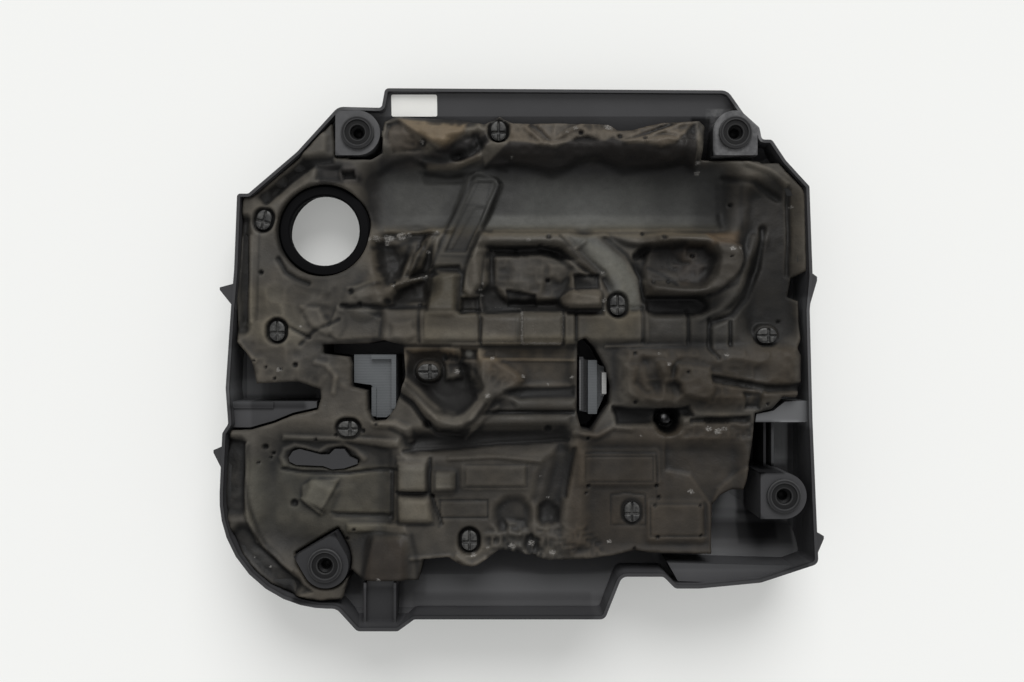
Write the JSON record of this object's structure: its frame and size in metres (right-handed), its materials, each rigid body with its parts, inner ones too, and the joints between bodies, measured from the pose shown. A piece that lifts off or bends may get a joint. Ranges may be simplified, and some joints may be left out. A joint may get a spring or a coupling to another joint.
{
  "type": "engine cover",
  "caption": "Moulded engine cover seen from its underside, with a foam pad, ball-stud grommets, push clips and an oil filler opening.",
  "frame": {"origin": "centre of the bounding box at the flat outer face on which the cover rests", "axes": "+Z away from the outer face, out of the open underside; +Y towards the rear edge; +X to the right of the underside view"},
  "size_m": [0.532, 0.477, 0.086],
  "materials": {
    "shell_plastic": "moulded black polyamide, satin, scuffed",
    "foam": "moulded polyurethane foam with a dark brown skin, stained",
    "insert_plastic": "grey moulded plastic with fine lines",
    "grommet_rubber": "black rubber, slightly glossy",
    "clip_plastic": "black plastic, dusty",
    "label_paper": "off-white film, bare"
  },
  "bodies": {
    "root": {"shell": "shell_plastic", "foam_pad": "foam", "stepped_insert": "insert_plastic", "slot_insert": "insert_plastic", "grommet_rear_left": "grommet_rubber", "grommet_rear_right": "grommet_rubber", "grommet_front_right": "grommet_rubber", "grommet_front_left": "grommet_rubber", "foam_clip_1": "clip_plastic", "foam_clip_2": "clip_plastic", "foam_clip_3": "clip_plastic", "foam_clip_4": "clip_plastic", "foam_clip_5": "clip_plastic", "foam_clip_6": "clip_plastic", "foam_clip_7": "clip_plastic", "foam_clip_8": "clip_plastic", "foam_clip_9": "clip_plastic", "part_label": "label_paper"}
  },
  "joints": []
}
